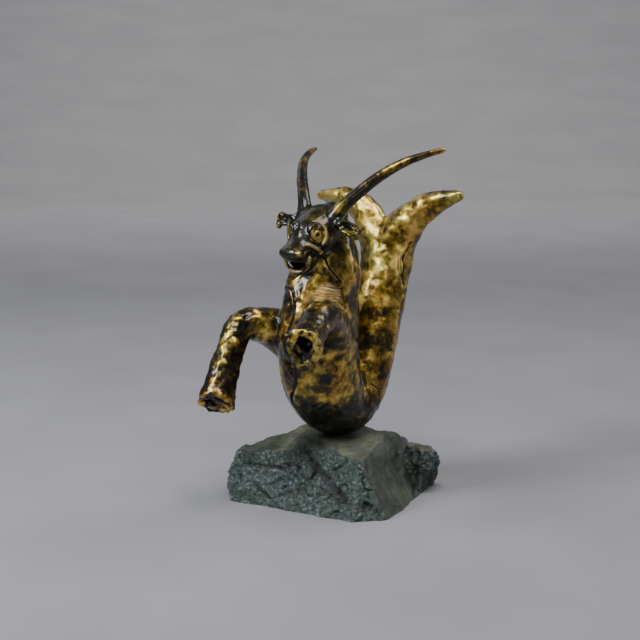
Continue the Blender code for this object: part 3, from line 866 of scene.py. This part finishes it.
def patinatedBronze():
    # Lost-wax cast bronze under a dark patina that was rubbed back to gold and varnished: it looks mottled
    # from near black to gold, with soft golden lights and a thin clear gloss. Painted shade darkens the
    # inside of the forelegs' ends and the mouth, and painted highlights make the lids and the lower lip
    # pale.
    material, shader = newMaterial("patinatedBronze")
    place = add(material, "ShaderNodeTexCoord", {}).outputs["Object"]
    share = {name: add(material, "ShaderNodeAttribute", {"attribute_name": name}).outputs["Fac"]
             for name in ("gold", "seam", "deep", "cool", "bare")}
    patches = add(material, "ShaderNodeTexNoise", {"Scale": 52.0, "Detail": 2.0, "Roughness": 0.5,
                                                    "Distortion": 0.8}, Vector=place)  # 20 mm patches
    spots = add(material, "ShaderNodeTexNoise", {"Scale": 150.0, "Detail": 5.0, "Roughness": 0.6,
                                                  "Distortion": 0.5}, Vector=place)  # 7 mm spots
    specks = add(material, "ShaderNodeTexNoise", {"Scale": 340.0, "Detail": 3.0, "Roughness": 0.6},
                 Vector=place)  # 3 mm specks
    swing = add(material, "ShaderNodeMapRange", {"interpolation_type": "SMOOTHSTEP", "From Min": 0.38,
                                                 "From Max": 0.62, "To Min": -0.12, "To Max": 0.12},
                Value=patches.outputs["Fac"])
    swing = add(material, "ShaderNodeMath", {"operation": "MULTIPLY_ADD", 1: 0.6},
                i0=spots.outputs["Fac"], i2=swing.outputs[0])
    swing = add(material, "ShaderNodeMath", {"operation": "SUBTRACT", 1: 0.33}, i0=swing.outputs[0])
    grit = add(material, "ShaderNodeMapRange",
               {"From Min": 0.52, "From Max": 0.68, "To Min": -0.02, "To Max": 0.22},
               Value=specks.outputs["Fac"])
    level = add(material, "ShaderNodeMath", {"operation": "ADD"}, i0=share["gold"], i1=swing.outputs[0])
    level = add(material, "ShaderNodeMath", {"operation": "ADD"}, i0=level.outputs[0], i1=grit.outputs[0])
    level = add(material, "ShaderNodeMath", {"operation": "SUBTRACT"},
                i0=level.outputs[0], i1=share["seam"])
    # painted shade: darker inside the open ends of the forelegs and in the mouth
    shadeInside = add(material, "ShaderNodeMath", {"operation": "MULTIPLY", 1: 0.6}, i0=share["deep"])
    level = add(material, "ShaderNodeMath", {"operation": "SUBTRACT", "use_clamp": True},
                i0=level.outputs[0], i1=shadeInside.outputs[0])
    worn = add(material, "ShaderNodeValToRGB",
               {"stops": [(0.06, "#161309"), (0.24, "#2e2612"), (0.38, "#55451d"), (0.52, "#856b2b"),
                          (0.68, "#b2933f"), (0.90, "#e2c46a")]}, Fac=level.outputs[0])
    tints = add(material, "ShaderNodeTexNoise", {"Scale": 30.0, "Detail": 3.0}, Vector=place)
    tint = add(material, "ShaderNodeValToRGB",
               {"stops": [(0.34, "#b4c6ac"), (0.50, "#fcf4d4"), (0.64, "#ffdfb2")]},
               Fac=tints.outputs["Fac"])
    warm = add(material, "ShaderNodeMix", {"data_type": "RGBA", "blend_type": "MULTIPLY", 0: 0.7},
               i6=worn.outputs["Color"], i7=tint.outputs["Color"])
    chill = add(material, "ShaderNodeMath", {"operation": "MULTIPLY", 1: 0.8}, i0=share["cool"])
    cold = add(material, "ShaderNodeMix",
               {"data_type": "RGBA", "blend_type": "MULTIPLY", 7: srgb("#9cc0bd")},
               i0=chill.outputs[0], i6=warm.outputs[2])
    # pale where the chest was filed, and painted highlights along the lids and the lower lip
    pale = add(material, "ShaderNodeMath", {"operation": "MULTIPLY", 1: 0.45}, i0=share["bare"])
    colour = add(material, "ShaderNodeMix", {"data_type": "RGBA", 7: srgb("#d2c298")},
                 i0=pale.outputs[0], i6=cold.outputs[2])
    join(material, colour.outputs[2], shader, "Base Color")
    metal = add(material, "ShaderNodeMapRange",
                {"From Min": 0.2, "From Max": 0.5, "To Min": 0.75, "To Max": 1.0}, Value=level.outputs[0])
    join(material, metal.outputs[0], shader, "Metallic")
    rough = add(material, "ShaderNodeMapRange",
                {"From Min": 0.3, "From Max": 0.7, "To Min": 0.30, "To Max": 0.44},
                Value=specks.outputs["Fac"])
    roughWherePale = add(material, "ShaderNodeMath", {"operation": "MULTIPLY_ADD", 1: 0.22}, i0=share["bare"],
                  i2=rough.outputs[0])
    join(material, roughWherePale.outputs[0], shader, "Roughness")
    bump = add(material, "ShaderNodeBump", {"Strength": 0.25, "Distance": 0.0004},
               Height=specks.outputs["Fac"])
    join(material, bump.outputs[0], shader, "Normal")
    shader.inputs["Coat Weight"].default_value = 0.6
    shader.inputs["Coat Roughness"].default_value = 0.15
    return material


# Stone.

stoneBlock = {
    "grain": 0.9,
    "quickGrain": 1.6,
    "triangles": 190000,
    "breaks": [(24.0, 0.8), (9.0, 0.5)],  # size and height of the ridges left by splitting
    "chips": [(11.0, 0.46), (4.5, 0.42), (2.2, 0.28)],  # size and slope of the flat chipped faces
    "top": 53.0,
    "smoothFace": (0.81, 0.22, 0.54),  # the way that the smoother face looks
    "spur": ((56.4, 49.3), 15.0),  # middle and radius
    "chipsLost": 0.95,  # on the smoother faces
    "hollowRounds": 8,
    "grooves": [
        ([(306, 452), (314, 464), (329, 481), (346, 502)], 3.2, -2.9),
        ([(245, 463), (268, 466), (288, 467), (304, 459)], 1.6, -1.6),
        ([(254, 482), (262, 490), (271, 499)], 1.6, -1.4),
        ([(268, 500), (284, 494), (300, 488)], 0.9, -0.7),
        ([(320, 487), (334, 497), (346, 504)], 1.0, -0.8),
        ([(415, 444), (418, 458), (417, 474), (414, 496)], 2.0, -1.8),
        ([(385, 470), (396, 492)], 0.8, -0.5),
    ],
}


def chipHeight(place):
    # Height of a surface broken into flat faces, each tilted its own way.
    centre = noise.voronoi(place)[1][0]
    tilt = Vector([noise.noise(centre * 7.3 + Vector((31.7 * k, 0, 0))) for k in range(3)])
    return (place - centre).dot(tilt)


def buildStone():
    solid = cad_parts["stone_base"].data.copy()
    solid.materials.clear()
    mesh = remeshed(solid, stoneBlock["grain"])
    skin = Skin(mesh)
    skin.smooth(1)
    paper = Sketch(mesh)
    points = skin.points.copy()
    normals = skin.normals()
    # the faces that look up get a lighter olive-tan colour: their own tan and painted light from above
    upward = ramp(normals[:, 2] + 0.12 * skin.soft(8.0, 3.0), 0.78, 0.9)
    smoothFace = ramp(normals @ np.array(stoneBlock["smoothFace"]) + 0.06 * skin.soft(6.0, 4.0), 0.80, 0.90)
    middle, radius = stoneBlock["spur"]
    spur = 1 - ramp(np.hypot(*(points[:, :2] - np.array(middle)).T), radius, radius + 4)
    even = np.maximum(smoothFace * (1 - spur), upward)
    coarse = 1 - stoneBlock["chipsLost"] * even
    heights = np.zeros(len(points))
    for size, height in stoneBlock["breaks"]:
        heights += height * (0.45 - np.abs(skin.soft(size, size, 3)) * 1.6)
    for size, slope in stoneBlock["chips"]:
        flats = np.array([chipHeight(Vector(p) / size) for p in points.tolist()])
        heights += slope * size * coarse * flats
    dark = np.zeros(len(points))
    for route, width, height in stoneBlock["grooves"]:
        line = paper.route(photoView, route)
        if len(line):
            reach = nearness(points, line) + 0.8 * skin.soft(4.0, 6.0)
            profile = np.exp(-(reach / width) ** 2)
            heights += height * profile
            dark = np.maximum(dark, profile)
    top = stoneBlock["top"]
    held = ramp(points[:, 2], 0.3, 2.5) * (1 - ramp(points[:, 2], top - 1.5, top - 0.5))
    skin.push(heights * held)
    skin.smooth(1)
    skin.points[:, 2] = np.clip(skin.points[:, 2], 0, top)
    skin.write()
    hollow = skin.hollowness(stoneBlock["hollowRounds"])
    paint = {"even": even, "upward": upward, "crack": np.maximum(dark, ramp(hollow, 0.1, 0.7))}
    source = skin.points
    mesh = thinned(mesh, stoneBlock["triangles"])
    savePaint(mesh, paint, source)
    mesh.materials.append(splitSerpentine())
    newPiece(mesh, "splitStone", "stone_base")


def splitSerpentine():
    # Split serpentine: grey-green crystals with pale glints on the broken faces, smoother and olive-grey
    # where it parted along its bed, and lighter olive-tan on the faces that look up, partly painted light
    # from above.
    material, shader = newMaterial("splitSerpentine")
    place = add(material, "ShaderNodeTexCoord", {}).outputs["Object"]
    even = add(material, "ShaderNodeAttribute", {"attribute_name": "even"}).outputs["Fac"]
    crack = add(material, "ShaderNodeAttribute", {"attribute_name": "crack"}).outputs["Fac"]
    upward = add(material, "ShaderNodeAttribute", {"attribute_name": "upward"}).outputs["Fac"]
    flakes = add(material, "ShaderNodeTexNoise", {"Scale": 380.0, "Detail": 6.0, "Roughness": 0.68},
                 Vector=place)  # 3 mm crystals
    clouds = add(material, "ShaderNodeTexNoise", {"Scale": 50.0, "Detail": 4.0}, Vector=place)
    broken = add(material, "ShaderNodeValToRGB",
                 {"stops": [(0.34, "#171e1b"), (0.45, "#333f3b"), (0.53, "#485551"), (0.61, "#6b7874"),
                            (0.70, "#acb7b3")]}, Fac=flakes.outputs["Fac"])
    bed = add(material, "ShaderNodeValToRGB",
              {"stops": [(0.34, "#30332a"), (0.50, "#404338"), (0.66, "#535647")]},
              Fac=clouds.outputs["Fac"])
    # lighter olive-tan for the faces that look up: their own tan and painted light from above
    top = add(material, "ShaderNodeValToRGB",
              {"stops": [(0.34, "#414538"), (0.50, "#545645"), (0.66, "#6c6955")]},
              Fac=clouds.outputs["Fac"])
    parted = add(material, "ShaderNodeMix", {"data_type": "RGBA"}, i0=upward, i6=bed.outputs["Color"],
                 i7=top.outputs["Color"])
    base = add(material, "ShaderNodeMix", {"data_type": "RGBA"}, i0=even, i6=broken.outputs["Color"],
               i7=parted.outputs[2])
    veins = add(material, "ShaderNodeTexNoise", {"Scale": 34.0, "Detail": 4.0, "Distortion": 1.2},
                Vector=place)  # 30 mm veins
    green = add(material, "ShaderNodeValToRGB",
                {"stops": [(0.42, "#ffffff"), (0.56, "#cfe0bb"), (0.68, "#8aa87c")]},
                Fac=veins.outputs["Fac"])
    veined = add(material, "ShaderNodeMix", {"data_type": "RGBA", "blend_type": "MULTIPLY", 0: 0.7},
                 i6=base.outputs[2], i7=green.outputs["Color"])
    dark = add(material, "ShaderNodeMath", {"operation": "MULTIPLY", 1: 0.9}, i0=crack)
    shaded = add(material, "ShaderNodeMix", {"data_type": "RGBA", 7: srgb("#10160e")},
                 i0=dark.outputs[0], i6=veined.outputs[2])
    join(material, shaded.outputs[2], shader, "Base Color")
    depth = add(material, "ShaderNodeMapRange", {"To Min": 0.0022, "To Max": 0.0006}, Value=even)
    bump = add(material, "ShaderNodeBump", {"Strength": 1.0}, Height=flakes.outputs["Fac"],
               Distance=depth.outputs[0])
    join(material, bump.outputs[0], shader, "Normal")
    rough = add(material, "ShaderNodeMapRange", {"To Min": 0.28, "To Max": 0.7},
                Value=flakes.outputs["Fac"])
    join(material, rough.outputs[0], shader, "Roughness")
    return material


addCamera(photoView)
addStudio()
print("studio is up")
buildCasting()
print("casting is built")
buildStone()
print("stone is built")
